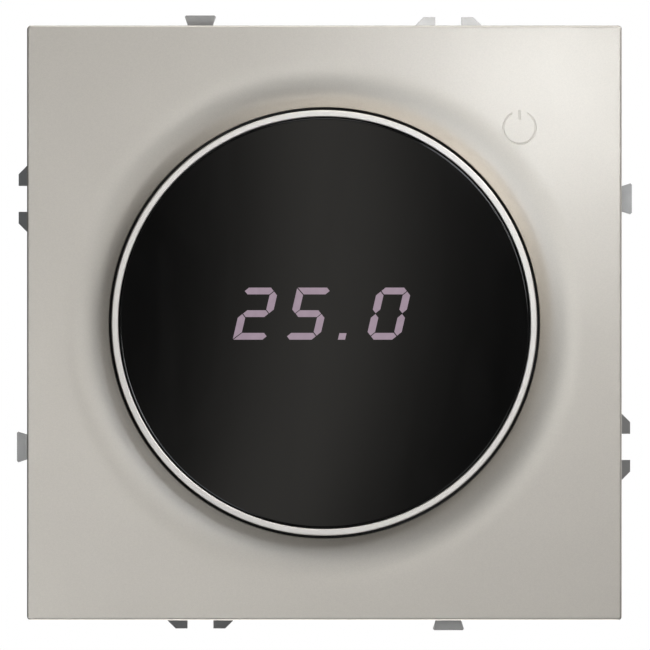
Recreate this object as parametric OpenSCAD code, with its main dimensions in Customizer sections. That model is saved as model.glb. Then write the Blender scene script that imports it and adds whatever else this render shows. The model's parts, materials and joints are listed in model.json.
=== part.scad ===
// Flush wall thermostat with a turning setting ring around a fixed LED display.
// Panel frame used by every module: x to the right, y up, z out of the wall towards the room,
// with z = 0 on the wall surface. facing_room() turns it into the part's own frame
// (+Z up, the room side at -Y, the wall box at +Y).

/* [Front plate] */
// Width and height of the square front plate
plate_size = 64; // [60:0.5:68]
// Distance from the wall surface to the plate's front face
plate_front = 10.5; // [10:0.1:12]
// Wall thickness of the flat part of the plate
plate_wall = 1.5; // [1.2:0.1:2]
// Radius of the round hole that the setting ring turns in
plate_hole_r = 23.3; // [23.2:0.05:23.6]
// Radius at which the rolled edge of the hole begins
dish_r = 28.2; // [27:0.1:29]
// Radius of the rolled edge's arc
dish_arc_r = 11.7; // [10:0.1:16]

/* [Setting ring] */
// Outer radius of the bright trim ring
trim_r = 22.85; // [22.6:0.05:23]
// Width of the trim ring's front face
trim_wall = 0.7; // [0.6:0.05:0.9]
// Height of the trim ring's front face over the wall surface
trim_front = 12.7; // [12:0.1:14]
// Radius of the bearing between the ring and the display housing
bearing_r = 21.8; // [21.7:0.05:21.85]
// Running clearance of that bearing
running_gap = 0.05; // [0.02:0.01:0.08]
// Number of detent notches round the ring
detents = 36; // [24:12:48]

/* [Encoder drive] */
// Gear module of the ring's inner teeth and of the pinion
gear_module = 0.5; // [0.5:0.1:0.5]
// Teeth inside the setting ring
ring_teeth = 80; // [80:1:80]
// Teeth on the encoder pinion
pinion_teeth = 16; // [16:1:16]
// Sideways play between a tooth and its space
backlash = 0.12; // [0.1:0.01:0.16]

/* [Display] */
// Radius of the black glass disc
glass_r = 22; // [21.9:0.01:22.05]
// Height of the digits
digit_h = 5.59; // [5:0.01:6]
// Width of one digit
digit_w = 3.66; // [3.4:0.01:3.8]
// Slant of the digits, in degrees
digit_slant = 13; // [0:1:15]
// Stroke of the horizontal segments
stroke = 0.725; // [0.6:0.005:0.8]
// Distance from one segment to the next
segment_gap = 0.09; // [0.06:0.01:0.12]

/* [Wall box insert] */
// Width and height of the sheet-steel support frame
frame_size = 63.4; // [62:0.1:63.6]
// Thickness of the support frame
frame_t = 1; // [1:0.1:1]
// Radius on which the wall box has its screws
box_screw_r = 30; // [30:0.1:30]
// Width and height of the insert housing
housing_size = 46; // [46:0.5:46]
// Depth of the insert housing behind the wall surface
housing_depth = 22.5; // [22.5:0.1:24]
// Number of terminals
terminals = 5; // [5:1:5]
// Distance from one terminal to the next
terminal_pitch = 7; // [6.9:0.1:7.1]
// Radius of each wire entry
wire_r = 1.7; // [1.5:0.1:1.8]

/* [Hidden] */
$fn = 96;
eps = 0.01;

// Colours
plate_colour = [0.74, 0.71, 0.67];
trim_colour = [0.86, 0.84, 0.80];
lug_colour = [0.45, 0.45, 0.44];
black_plastic = [0.06, 0.06, 0.06];
glass_colour = [0.03, 0.03, 0.03];
segment_colour = [0.66, 0.59, 0.64];
steel_colour = [0.70, 0.71, 0.72];
board_colour = [0.05, 0.32, 0.16];
housing_colour = [0.80, 0.80, 0.78];
brass_colour = [0.78, 0.62, 0.30];

// Front plate
skirt_wall = 1;
skirt_bottom = 6.6;
plate_back = plate_front - plate_wall;
lip_back = 7.6;
lip_r = 25.6;
groove = 0.28;
groove_depth = 0.12;
symbol_at = 21;
symbol_r = 1.77;
symbol_gap_deg = 27;
symbol_bar = 1.09;
symbol_bar_top = 1.91;

// Carrier
carrier_size = plate_size - 2 * skirt_wall - 0.2;
carrier_wall = 1.2;
carrier_top = plate_back;
floor_t = 1;
floor_top = frame_t + floor_t;
lug_reach = 33.2;
clip_reach = 33.05;
lug_at = 13.4;
latch_w = 7;
latch_at = [-22.8, 22.8];
leg_at = [25.8, 8];
leg_half = 0.6;
box_screw_room = 8;
wall_screw_room = 3.4;
edge_break = 0.2;

// Stack of the operating unit
board_t = 1;
control_z = 2.6;
control_top = control_z + board_t;
post_r = 1.3;
post_at = 22.7;
glide_z = 4.9;
glide_t = 0.6;
flange_z = 5.6;
flange_top = 7.4;
flange_r = 24.6;
neck_top = 11;
hub_bottom = 7.6;
hub_top = 11.3;
stem_r = 19;
stem_wall = 1.2;
pocket_r = 20.6;
pocket_floor = 8.4;
display_board_top = pocket_floor + board_t;
adhesive_t = 0.2;
glass_z = hub_top + adhesive_t;
glass_front = trim_front - 0.1;
glass_chamfer = 0.15;
hub_screw_at = 10.25;
hub_screw_r = 1;

// Gears
ring_pitch_r = gear_module * ring_teeth / 2;
pinion_pitch_r = gear_module * pinion_teeth / 2;
pinion_at = ring_pitch_r - pinion_pitch_r;
pressure_deg = 20;
detent_r = 1.1;
detent_depth = 0.35;

// Insert
recess = 0.3;
recess_room = 1;
leg_pocket = [1.6, 2.3];
housing_wall = 1.3;
housing_corner = 40;
cover_t = 1.6;
cover_top = recess;
housing_inner = housing_size / 2 - housing_wall;
inner_corner = housing_corner - sqrt(2) * housing_wall;
catch_half = 3;
catch_z = [-1, -0.4];
frame_screw_at = 18.1;
frame_screw_r = 1.25;
frame_boss_r = 2.4;
frame_boss_low = -10.4;
countersink_z = 0.4;
ledge_w = 3;
funnel = 0.4;
label_depth = 0.2;
vent_half = 0.8;
power_board_z = -12.6;
power_board_t = 1.6;
power_board_top = power_board_z + power_board_t;
rear_wall = 1.4;
rear_in = rear_wall - housing_depth;
wire_y = -13;
bar_half = 1.7;
board_reach = 46.5;
opening = [40, 31];
corner_hole_at = 26;
corner_hole_r = 1.7;

// Terminals
head_r = 2.1;
head_bottom = -22.9;
head_top = -21.1;
shank_r = 1.5;
bar_low = -15.4;
bar_t = 0.8;
cage_w = 5.6;
cage_z = [-20.8, -14.8];
cage_low = -17.8;
cage_low_wall = 1.7;
cage_top = -11.1;
cage_top_wall = 0.9;
cage_side = 0.8;

module facing_room() {
    rotate([90, 0, 0]) children();
}

// A block from corner a to corner b
module span(a, b) {
    translate(a) cube(b - a);
}

// A plain disc between two heights
module disc(r, z0, z1) {
    translate([0, 0, z0]) cylinder(r = r, h = z1 - z0);
}

// A tube between two radii and two heights
module tube(r_in, r_out, z0, z1) {
    difference() {
        disc(r_out, z0, z1);
        disc(r_in, z0 - 1, z1 + 1);
    }
}

// The children at each quarter turn
module quarters(offset = 0) {
    for (k = [0:3]) rotate([0, 0, offset + 90 * k]) children();
}

// The children at the four corners of a square
module corners(at) {
    for (x = [-at, at], y = [-at, at]) translate([x, y, 0]) children();
}

// A square with rounded corners, centred
module rounded_square(size, r) {
    translate([r - size / 2, r - size / 2]) {
        translate([0, -r]) square([size - 2 * r, size]);
        translate([-r, 0]) square([size, size - 2 * r]);
        for (x = [0, size - 2 * r], y = [0, size - 2 * r]) translate([x, y]) circle(r);
    }
}

// A square with cut corners, where |x| + |y| stays within reach
module cut_square(size, reach) {
    h = size / 2;
    c = reach - h;
    polygon([[h, -c], [h, c], [c, h], [-c, h], [-h, c], [-h, -c], [-c, -h], [c, -h]]);
}

// ---------- front plate ----------

// The on/off mark: a ring that is open at the top, and a short bar
module power_mark(z0, z1) {
    translate([symbol_at, symbol_at, 0]) {
        rotate([0, 0, 90 + symbol_gap_deg])
            rotate_extrude(angle = 360 - 2 * symbol_gap_deg)
                translate([symbol_r - groove / 2, z0]) square([groove, z1 - z0]);
        span([-groove / 2, symbol_bar_top - symbol_bar, z0], [groove / 2, symbol_bar_top, z1]);
    }
}

module rolled_edge() {
    rotate_extrude()
        intersection() {
            translate([plate_hole_r, lip_back])
                square([dish_r - plate_hole_r, plate_front - lip_back]);
            translate([dish_r, plate_front - dish_arc_r]) circle(dish_arc_r);
        }
}

module front_plate() {
    inner = plate_size - 2 * skirt_wall;
    color(plate_colour) facing_room() {
        difference() {
            union() {
                difference() {
                    translate([0, 0, skirt_bottom])
                        linear_extrude(plate_front - skirt_bottom) rounded_square(plate_size, 0.4);
                    translate([0, 0, skirt_bottom - 1])
                        linear_extrude(plate_back - skirt_bottom + 1) square(inner, center = true);
                    disc(dish_r, skirt_bottom, plate_front + 1);
                    quarters() translate([0, plate_size / 2, plate_front]) rotate([45, 0, 0])
                        cube([plate_size + 1, edge_break * sqrt(2), edge_break * sqrt(2)], center = true);
                }
                difference() {
                    rolled_edge();
                    tube(lip_r, dish_r + 1, lip_back - 1, plate_back - 0.9);
                }
                quarters() for (x = latch_at)
                    span([x - latch_w / 2, inner / 2 - 0.6, 7.3], [x + latch_w / 2, inner / 2 + 0.1, 8]);
            }
            power_mark(plate_front - groove_depth, plate_front + 1);
        }
    }
}

// ---------- carrier with the lugs for the surround ----------

// One rigid dovetail lug, pointing along +y
module dovetail_lug() {
    translate([-lug_at, 0, 4.2]) linear_extrude(2)
        polygon([
            [-0.8, carrier_size / 2 - 0.5], [0.8, carrier_size / 2 - 0.5],
            [1.67, lug_reach - 0.15], [1.52, lug_reach], [-1.52, lug_reach], [-1.67, lug_reach - 0.15]
        ]);
}

// One springy leg of a snap clip, with a ramped front, pointing along +y
module clip_leg() {
    intersection() {
        translate([0, 0, 3]) linear_extrude(4)
            polygon([
                [1.4, carrier_size / 2 - 0.5], [3.55, carrier_size / 2 - 0.5],
                [3.55, clip_reach - 0.88], [2.67, clip_reach], [1.4, clip_reach]
            ]);
        rotate([90, 0, 90]) linear_extrude(6)
            polygon([
                [carrier_size / 2 - 1, 4], [clip_reach + 1, 4], [clip_reach + 1, 4.7],
                [clip_reach, 5], [carrier_size / 2, 5.9], [carrier_size / 2 - 1, 5.9]
            ]);
    }
}

module snap_clip() {
    translate([lug_at, 0, 0]) {
        clip_leg();
        mirror([1, 0, 0]) clip_leg();
    }
}

// A hooked leg that holds the carrier to the support frame
module frame_leg() {
    translate([leg_at[0], 0, 0]) {
        span([-leg_half, -1.6, recess - 1.3], [leg_half, 1.6, frame_t + 0.5]);
        translate([0, 1.6, recess]) rotate([90, 0, 0]) linear_extrude(3.2)
            polygon([[0.5, -1.3], [0.7, -1.3], [1.1, -0.5], [1.1, -0.05], [0.5, -0.05]]);
    }
}

module carrier_frame() {
    half = carrier_size / 2;
    color(lug_colour) facing_room() {
        difference() {
            union() {
                difference() {
                    translate([0, 0, frame_t])
                        linear_extrude(carrier_top - frame_t) square(carrier_size, center = true);
                    translate([0, 0, floor_top]) linear_extrude(carrier_top)
                        square(carrier_size - 2 * carrier_wall, center = true);
                }
                quarters() translate([post_at, 0, 0]) disc(post_r, floor_top - eps, glide_z);
                corners(hub_screw_at) disc(2.2, floor_top - eps, control_z);
                quarters() {
                    dovetail_lug();
                    snap_clip();
                }
                for (a = [0, 180], s = [-1, 1])
                    rotate([0, 0, a]) translate([0, s * leg_at[1], 0]) frame_leg();
            }
            // room for the heads of the wall box's screws
            quarters() span([26, -box_screw_room / 2, 0.5], [half + 1, box_screw_room / 2, 3.6]);
            // slots that let the snap clips give
            quarters() for (s = [-1, 1])
                span([lug_at + s * 4.9 - 0.4, half - 2, 3], [lug_at + s * 4.9 + 0.4, half + 1, 7]);
            // windows for the plate's latches
            quarters() for (x = latch_at)
                span([x - latch_w / 2 - 0.3, half - 2, 7.1], [x + latch_w / 2 + 0.3, half + 1, 8.3]);
            // access to the screws in the support frame's corners
            corners(corner_hole_at) disc(wall_screw_room, 0, 3);
            // window for the plug, and the hub screws with their countersinks
            span([-8.6, 9.4, 0], [8.6, 15.6, 3]);
            corners(hub_screw_at) {
                disc(hub_screw_r + 0.1, 0, 3);
                translate([0, 0, frame_t - eps]) cylinder(r1 = 2 + eps, r2 = 1.1, h = 0.9 + eps);
            }
        }
    }
}

// ---------- setting ring ----------

function involute(a) = tan(a) - a * PI / 180;
// Half the angle that a tooth takes at radius r, in degrees
function tooth_half(teeth, width, r) =
    let (pitch_r = gear_module * teeth / 2, base_r = pitch_r * cos(pressure_deg))
    (width / 2 / pitch_r + involute(pressure_deg) - involute(acos(min(1, base_r / r)))) * 180 / PI;
// The outline of a spur gear with one tooth pointing along -y
function gear_outline(teeth, width, root_r, tip_r, steps = 3) = [
    for (k = [0:teeth - 1]) let (mid = 360 * k / teeth - 90) each concat(
        [for (i = [0:steps])
            let (r = root_r + (tip_r - root_r) * i / steps, a = mid - tooth_half(teeth, width, r))
            [r * cos(a), r * sin(a)]],
        [for (i = [steps:-1:0])
            let (r = root_r + (tip_r - root_r) * i / steps, a = mid + tooth_half(teeth, width, r))
            [r * cos(a), r * sin(a)]])
];
tooth_width = PI * gear_module / 2;

module setting_ring_trim() {
    color(trim_colour) facing_room() difference() {
        disc(trim_r, 8, trim_front);
        disc(trim_r - trim_wall, neck_top, trim_front + 1);
        disc(trim_r - 0.4, 7, neck_top + eps);
    }
}

module setting_ring_drum() {
    spaces = gear_outline(ring_teeth, tooth_width + backlash / 2,
        ring_pitch_r - 0.8 * gear_module, ring_pitch_r + 1.2 * gear_module);
    color(black_plastic) facing_room() difference() {
        union() {
            disc(trim_r - 0.4 - eps, flange_top - eps, neck_top);
            disc(flange_r, flange_z, flange_top);
        }
        disc(bearing_r + running_gap, flange_top, neck_top + 1);
        translate([0, 0, flange_z - 1]) linear_extrude(flange_top + 1) polygon(spaces);
        for (k = [0:detents - 1]) rotate([0, 0, 360 * k / detents + 90])
            translate([flange_r + detent_r - detent_depth, 0, 0])
                disc(detent_r, flange_z - 1, flange_top + 1);
    }
}

module glide_ring() {
    color("ivory") facing_room() tube(21.2, 24.4, glide_z, glide_z + glide_t);
}

// A leaf spring whose rounded nose sits in a notch at the top of the ring
module detent_spring() {
    nose_y = flange_r - detent_depth + 0.06 + 0.9;
    color(steel_colour) facing_room() {
        translate([0, 0, flange_z + 0.2]) linear_extrude(1.4) {
            difference() {
                translate([0, nose_y]) circle(0.9);
                translate([0, nose_y]) circle(0.65);
                translate([-1, nose_y + 0.4]) square(2);
            }
            for (s = [-1, 1]) translate([s * 3.2, nose_y + 0.38])
                square([5, 0.25], center = true);
        }
        for (s = [-1, 1])
            span([s * 6.2 - 0.6, nose_y + 0.25, control_top],
                [s * 6.2 + 0.6, nose_y + 0.5, flange_top - 0.4]);
    }
}

// ---------- encoder ----------

module encoder_body() {
    color([0.25, 0.27, 0.3]) facing_room() translate([0, -pinion_at, 0]) difference() {
        union() {
            span([-4.6, -4.2, control_top], [4.6, 4.2, 4.9]);
            disc(2, 4.8, 5.2);
        }
        disc(1 + running_gap, 4, 6);
    }
}

module encoder_pinion() {
    teeth = gear_outline(pinion_teeth, tooth_width - backlash / 2,
        pinion_pitch_r - 1.2 * gear_module, pinion_pitch_r + 0.95 * gear_module, 4);
    color("ivory") facing_room() translate([0, -pinion_at, 0]) {
        translate([0, 0, 5.5]) linear_extrude(1.7) polygon(teeth);
        disc(1, 4.1, 5.6);
    }
}

// ---------- display ----------

// The named segments of one upright digit. A free end runs out to the digit's edge,
// and a sharp end runs into the digit's corner.
digit_stroke = 0.8;
joint_in = 0.47;
free_in = 0.1;
mid_y = digit_h / 2;
module seg_bar(y, left, right, outer = 0) {
    s = stroke / 2;
    l = left == "free" ? free_in : joint_in;
    r = digit_w - (right == "free" ? free_in : joint_in);
    inside = digit_stroke + 0.05;
    corner = 0.07;
    start = left != "sharp"
        ? [[l + s, y - s], [l, y], [l + s, y + s]]
        : outer > 0
        ? [[inside, y - s], [corner, y + s]]
        : [[corner, y - s], [inside, y + s]];
    polygon(concat(start, [[r - s, y + s], [r, y], [r - s, y - s]]));
}
module seg_post(left, upper, sharp = false) {
    d = digit_stroke;
    low = upper ? mid_y + segment_gap / 2 : joint_in - 0.04;
    high = upper ? digit_h - joint_in + 0.04 : mid_y - segment_gap / 2;
    corner = 0.07;
    right_way = left ? [1, 0] : [-1, digit_w];
    foot = [[d, low + d / 2], [d / 2, low], [0, low + d / 2]];
    head = [[0, high - d / 2], [d / 2, high], [d, high - d / 2]];
    points = sharp && upper
        ? concat(foot, [[0, digit_h - corner], [d, digit_h - stroke - corner]])
        : sharp
        ? concat([[0, corner]], head, [[d, stroke + corner]])
        : concat(foot, head);
    polygon([for (p = points) [right_way[1] + right_way[0] * p[0], p[1]]]);
}
module digit_two() {
    seg_bar(digit_h - stroke / 2, "free", "joint");
    seg_post(false, true);
    seg_bar(mid_y, "joint", "joint");
    seg_post(true, false, true);
    seg_bar(stroke / 2, "sharp", "free", -1);
}
module digit_five() {
    seg_bar(digit_h - stroke / 2, "sharp", "free", 1);
    seg_post(true, true, true);
    seg_bar(mid_y, "joint", "joint");
    seg_post(false, false);
    seg_bar(stroke / 2, "free", "joint");
}
module digit_zero() {
    seg_bar(digit_h - stroke / 2, "joint", "joint");
    seg_bar(stroke / 2, "joint", "joint");
    for (l = [true, false], u = [true, false]) seg_post(l, u);
}
digit_x = [-9.85, -4.2, 4.45];
point_x = 1.45;
base_y = -1.81;
// Places upright outlines on the slanted baseline
module slanted() {
    multmatrix([[1, tan(digit_slant), 0, 0], [0, 1, 0, base_y], [0, 0, 1, 0], [0, 0, 0, 1]])
        children();
}
module reading() {
    translate([digit_x[0], 0]) slanted() digit_two();
    translate([digit_x[1], 0]) slanted() digit_five();
    translate([point_x, 0]) slanted() square([0.77, 0.7]);
    translate([digit_x[2], 0]) slanted() digit_zero();
}

module display_glass() {
    color(glass_colour) facing_room() difference() {
        union() {
            disc(glass_r, glass_z, glass_front - glass_chamfer);
            translate([0, 0, glass_front - glass_chamfer])
                cylinder(r1 = glass_r, r2 = glass_r - glass_chamfer, h = glass_chamfer);
        }
        translate([0, 0, glass_z - 1]) linear_extrude(4) reading();
    }
}

module segment_windows() {
    color(segment_colour) facing_room()
        translate([0, 0, glass_z]) linear_extrude(glass_front - glass_z) reading();
}

module glass_adhesive() {
    color(black_plastic) facing_room() tube(pocket_r + 0.1, bearing_r - 0.1, hub_top, glass_z);
}

module display_housing() {
    color(black_plastic) facing_room() difference() {
        union() {
            disc(bearing_r, hub_bottom, hub_top);
            tube(stem_r - stem_wall, stem_r, control_top, hub_bottom + eps);
            corners(hub_screw_at) disc(2.2, control_top, hub_bottom + eps);
        }
        disc(pocket_r, pocket_floor, hub_top + 1);
        span([-6, link_y - 1.5, hub_bottom - 1], [6, link_y + 1.5, pocket_floor + 1]);
        span([-5.4, -stem_r - 2, control_top - 1], [5.4, -pinion_at + 5, hub_bottom]);
        corners(hub_screw_at) disc(hub_screw_r + 0.02, 0, hub_bottom - 0.3);
    }
}

// The moulded block with a light shaft for every segment of the three digits
block_size = [27, 9.6];
module all_segments() {
    for (x = digit_x) translate([x, 0]) slanted() {
        for (y = [stroke / 2, mid_y, digit_h - stroke / 2]) seg_bar(y, "joint", "joint");
        for (l = [true, false], u = [true, false]) seg_post(l, u);
    }
    translate([point_x, 0]) slanted() square([0.77, 0.7]);
}
block_at = [0.1, base_y + digit_h / 2];
module segment_block() {
    color("white") facing_room() difference() {
        translate([block_at[0], block_at[1], (display_board_top + glass_z) / 2])
            cube([block_size[0], block_size[1], glass_z - display_board_top], center = true);
        translate([0, 0, display_board_top - 1]) linear_extrude(4) all_segments();
    }
}

// One small LED under each segment
module led(x, y) {
    translate([x + (y - base_y) * tan(digit_slant), y, display_board_top])
        translate([-0.2, -0.15, 0]) cube([0.4, 0.3, 0.35]);
}
module segment_leds() {
    s = digit_stroke / 2;
    color("lemonchiffon") facing_room() {
        for (x = digit_x) {
            for (y = [stroke / 2, mid_y, digit_h - stroke / 2]) led(x + digit_w / 2, base_y + y);
            for (px = [s, digit_w - s], y = [digit_h * 0.27, digit_h * 0.73]) led(x + px, base_y + y);
        }
        led(point_x + 0.38, base_y + 0.35);
    }
}

module display_board() {
    color(board_colour) facing_room() difference() {
        disc(pocket_r - 0.15, pocket_floor, display_board_top);
        at_link() span([-0.27, -0.27, 8], [0.27, 0.27, 10]);
    }
}

// ---------- control board ----------

module control_board() {
    notch = 26;
    color(board_colour) facing_room() difference() {
        translate([0, 0, control_z]) linear_extrude(board_t) cut_square(57, board_reach);
        quarters() span([notch, -box_screw_room / 2 - 0.4, 2], [30, box_screw_room / 2 + 0.4, 4]);
        quarters() translate([post_at, 0, 0]) disc(post_r + 0.2, 2, 4);
        corners(hub_screw_at) disc(hub_screw_r + 0.15, 2, 4);
    }
}

module controller_chip() {
    color([0.1, 0.1, 0.1]) facing_room() {
        span([-3.5, -3.5, control_top + 0.1], [3.5, 3.5, control_top + 1.1]);
        quarters() for (k = [-4:4])
            span([3.4, k * 0.7 - 0.13, control_top], [4.4, k * 0.7 + 0.13, control_top + 0.25]);
    }
}

// Pins that join the display board to the control board
link_y = -7.6;
module at_link() {
    for (k = [-1.5:1.5]) translate([k * pin_pitch, link_y, 0]) children();
}
module board_link_pins() {
    color(brass_colour) facing_room() at_link()
        span([-0.25, -0.25, control_top], [0.25, 0.25, display_board_top + 0.5]);
}

module hub_screws() {
    color(steel_colour) facing_room() corners(hub_screw_at) difference() {
        union() {
            disc(hub_screw_r, frame_t + 0.2, hub_bottom - 0.5);
            translate([0, 0, frame_t]) cylinder(r1 = 1.95, r2 = 1, h = 0.9);
        }
        for (a = [0, 90]) rotate([0, 0, a]) span([-1.1, -0.2, 0.5], [1.1, 0.2, frame_t + 0.45]);
    }
}

// A helical spring that joins the control board to the plate under the on/off mark
spring_r = 1.25;
spring_wire = 0.18;
spring_turns = 5;
spring_rings = 10;
spring_sides = 6;
module touch_spring() {
    low = control_top + spring_wire;
    high = plate_back - spring_wire - 0.08;
    count = spring_turns * spring_rings;
    points = [for (i = [0:count], k = [0:spring_sides - 1])
        let (turn = 360 * i / spring_rings, a = 360 * k / spring_sides,
            r = spring_r + spring_wire * cos(a))
        [r * cos(turn), r * sin(turn), low + (high - low) * i / count + spring_wire * sin(a)]];
    sides = [for (i = [0:count - 1], k = [0:spring_sides - 1])
        let (n = (k + 1) % spring_sides, a = i * spring_sides)
        [a + k, a + spring_sides + k, a + spring_sides + n, a + n]];
    start = [for (k = [0:spring_sides - 1]) k];
    end = [for (k = [spring_sides - 1:-1:0]) count * spring_sides + k];
    color(brass_colour) facing_room() translate([symbol_at, symbol_at, 0])
        polyhedron(points, concat(sides, [start, end]));
}

// A thermistor bead on two leads, in the corner furthest from the warm parts
module room_sensor() {
    color([0.12, 0.12, 0.14]) facing_room() translate([-21.5, -21.5, 0]) {
        translate([0, 0, 6.6]) sphere(1.2);
        for (x = [-0.6, 0.6]) translate([x, 0, 0]) disc(0.2, control_top, 6.4);
    }
}

// ---------- plug between the operating unit and the insert ----------

plug_y = 12.5;
pin_pitch = 2.54;
module at_pins() {
    for (k = [-2.5:2.5], r = [-0.5, 0.5])
        translate([k * pin_pitch, plug_y + r * pin_pitch, 0]) children();
}
module plug_header() {
    color(black_plastic) facing_room() difference() {
        span([-8.2, plug_y - 2.7, 0.6], [8.2, plug_y + 2.7, control_z]);
        at_pins() span([-0.32, -0.32, 0], [0.32, 0.32, 3]);
    }
}
module plug_pins() {
    color(brass_colour) facing_room() at_pins() span([-0.32, -0.32, -6.2], [0.32, 0.32, control_z]);
}
module socket_header() {
    color(black_plastic) facing_room() difference() {
        span([-8, plug_y - 2.5, power_board_top], [8, plug_y + 2.5, 0.4]);
        at_pins() span([-0.42, -0.42, -7], [0.42, 0.42, 1]);
    }
}

// ---------- wall box insert ----------

module support_frame() {
    color(steel_colour) facing_room() difference() {
        linear_extrude(frame_t) rounded_square(frame_size, 3);
        translate([0, 0, -1]) linear_extrude(3) cut_square(opening[0], opening[1]);
        // rear recess that takes the rim of the insert, so that only the frame meets the wall
        translate([0, 0, -1]) linear_extrude(1 + recess)
            cut_square(housing_size + recess_room, housing_corner + recess_room);
        for (x = [-1, 1], y = [-1, 1]) translate([x * leg_at[0], y * leg_at[1], 0])
            span([-leg_pocket[0], -leg_pocket[1], -1], [leg_pocket[0], leg_pocket[1], recess]);
        // open notches for the wall box's screws
        quarters() {
            translate([box_screw_r, 0, 0]) disc(1.9, -1, 2);
            span([box_screw_r, -1.9, -1], [box_screw_r + 3, 1.9, 2]);
        }
        // slots for the carrier's hooked legs
        for (x = [-1, 1], y = [-1, 1])
            translate([x * (leg_at[0] - 0.1), y * leg_at[1], 0]) span([-0.8, -1.9, -1], [0.8, 1.9, 2]);
        corners(corner_hole_at) disc(corner_hole_r, -1, 2);
        corners(frame_screw_at) {
            disc(frame_screw_r + 0.15, -1, 2);
            translate([0, 0, countersink_z])
                cylinder(r1 = 1.4, r2 = 2.3, h = frame_t - countersink_z + eps);
        }
    }
}

module frame_screws() {
    color(steel_colour) facing_room() corners(frame_screw_at) difference() {
        union() {
            disc(frame_screw_r, -8.5, 0.7);
            translate([0, 0, countersink_z + 0.05])
                cylinder(r1 = 1.3, r2 = 2.15, h = frame_t - countersink_z - 0.05);
        }
        for (a = [0, 90]) rotate([0, 0, a]) span([-1.3, -0.22, frame_t - 0.45], [1.3, 0.22, 2]);
    }
}

module insert_cover() {
    color(housing_colour) facing_room() difference() {
        union() {
            translate([0, 0, cover_top - cover_t]) linear_extrude(cover_t)
                cut_square(2 * housing_inner - 0.2, inner_corner - 0.2);
            // catches that snap into the housing's windows
            quarters() translate([0, housing_inner, 0])
                span([-catch_half, -0.5, catch_z[0]], [catch_half, 0.7, catch_z[1]]);
        }
        span([-8.3, plug_y - 2.8, -3], [8.3, plug_y + 2.8, 1]);
        corners(frame_screw_at) disc(frame_boss_r + 0.2, -3, 1);
        // slots that let the warmth of the power board out
        for (k = [-3:3]) span([k * 3.5 - 0.6, -14, -3], [k * 3.5 + 0.6, -4, 1]);
    }
}

module at_terminals() {
    for (k = [0:terminals - 1])
        translate([(k - (terminals - 1) / 2) * terminal_pitch, 0, 0]) children();
}

module insert_housing() {
    color(housing_colour) facing_room() difference() {
        union() {
            difference() {
                translate([0, 0, -housing_depth]) linear_extrude(housing_depth + recess)
                    cut_square(housing_size, housing_corner);
                translate([0, 0, rear_in]) linear_extrude(housing_depth + 1)
                    cut_square(2 * housing_inner, inner_corner);
            }
            corners(frame_screw_at) disc(frame_boss_r, frame_boss_low, recess);
            for (s = [-1, 1])
                span([s * housing_inner - 0.9, -ledge_w / 2, rear_in - eps],
                    [s * housing_inner + 0.9, ledge_w / 2, power_board_z]);
        }
        corners(frame_screw_at) disc(frame_screw_r + 0.02, -9, 1);
        // windows for the cover's catches
        quarters() span([-catch_half - 0.3, housing_inner - 1, catch_z[0] - 0.2],
            [catch_half + 0.3, housing_size / 2 + 1, catch_z[1] + 0.2]);
        // slots that let the warmth of the relay and the transformer out
        for (k = [-3:3]) span([4 * k - vent_half, housing_inner - 1, -19], [4 * k + vent_half, 24, -5]);
        for (s = [-1, 1], k = [-1:1]) translate([s * housing_size / 2, 5 * k + 3, 0])
            span([-2, -vent_half, -9], [2, vent_half, -3]);
        // shallow field for the type label
        span([-15, 3, -housing_depth - 1], [15, 17, label_depth - housing_depth]);
        at_terminals() {
            translate([0, wire_y, 0]) {
                disc(wire_r, -housing_depth - 1, rear_in + 1);
                translate([0, 0, -housing_depth - eps])
                    cylinder(r1 = wire_r + funnel + eps, r2 = wire_r, h = funnel + eps);
            }
            translate([0, 0, (cage_z[0] + cage_z[1]) / 2]) rotate([90, 0, 0])
                disc(head_r + 0.2, housing_inner - 1, housing_size / 2 + 1);
        }
    }
}

module power_board() {
    color(board_colour) facing_room() translate([0, 0, power_board_z]) linear_extrude(power_board_t)
        cut_square(2 * housing_inner - 0.6, inner_corner - 1);
}

module relay_case() {
    color([0.12, 0.24, 0.5]) facing_room()
        span([-19.5, 2.5, rear_in + 0.2], [0.5, 18, power_board_z - 0.3]);
}
module relay_pins() {
    at = [[-17.5, 4.5], [-17.5, 16], [-6, 4.5], [-1.5, 16], [-1.5, 4.5]];
    color(brass_colour) facing_room() for (p = at)
        span([p[0] - 0.5, p[1] - 0.25, power_board_z - 0.3], [p[0] + 0.5, p[1] + 0.25, power_board_z]);
}

module transformer_core() {
    color([0.22, 0.2, 0.2]) facing_room() difference() {
        span([-17, -7, power_board_top], [-3, 5, -2.2]);
        span([-14.5, -8, power_board_top + 2], [-5.5, 6, -4.2]);
    }
}
module transformer_coil() {
    color([0.85, 0.7, 0.2]) facing_room() translate([-10, -1, 0])
        span([-4.3, -5.5, power_board_top + 2.2], [4.3, 5.5, -4.4]);
}
module mains_capacitor() {
    color([0.85, 0.75, 0.2]) facing_room() span([3, 4, rear_in + 0.3], [16.5, 10, power_board_z]);
}
module bulk_capacitor() {
    color([0.1, 0.12, 0.2]) facing_room() translate([2, -2, power_board_top + 4]) rotate([0, 90, 0]) {
        cylinder(r = 4, h = 12.5);
        translate([0, 0, 12.5]) cylinder(r = 3.4, h = 0.4);
    }
}
module fuse() {
    color([0.5, 0.3, 0.15]) facing_room() translate([9, -7.6, 0]) disc(2.2, -20.5, power_board_z);
}
module varistor() {
    color([0.1, 0.25, 0.6]) facing_room() translate([10, 14, -16.9]) rotate([90, 0, 0])
        translate([0, 0, -1.8]) cylinder(r = 4.1, h = 3.6);
}
module bridge_rectifier() {
    color([0.1, 0.1, 0.1]) facing_room()
        span([-8, -13, power_board_top], [-3, -9, power_board_top + 2.4]);
}

// ---------- terminals ----------

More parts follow.
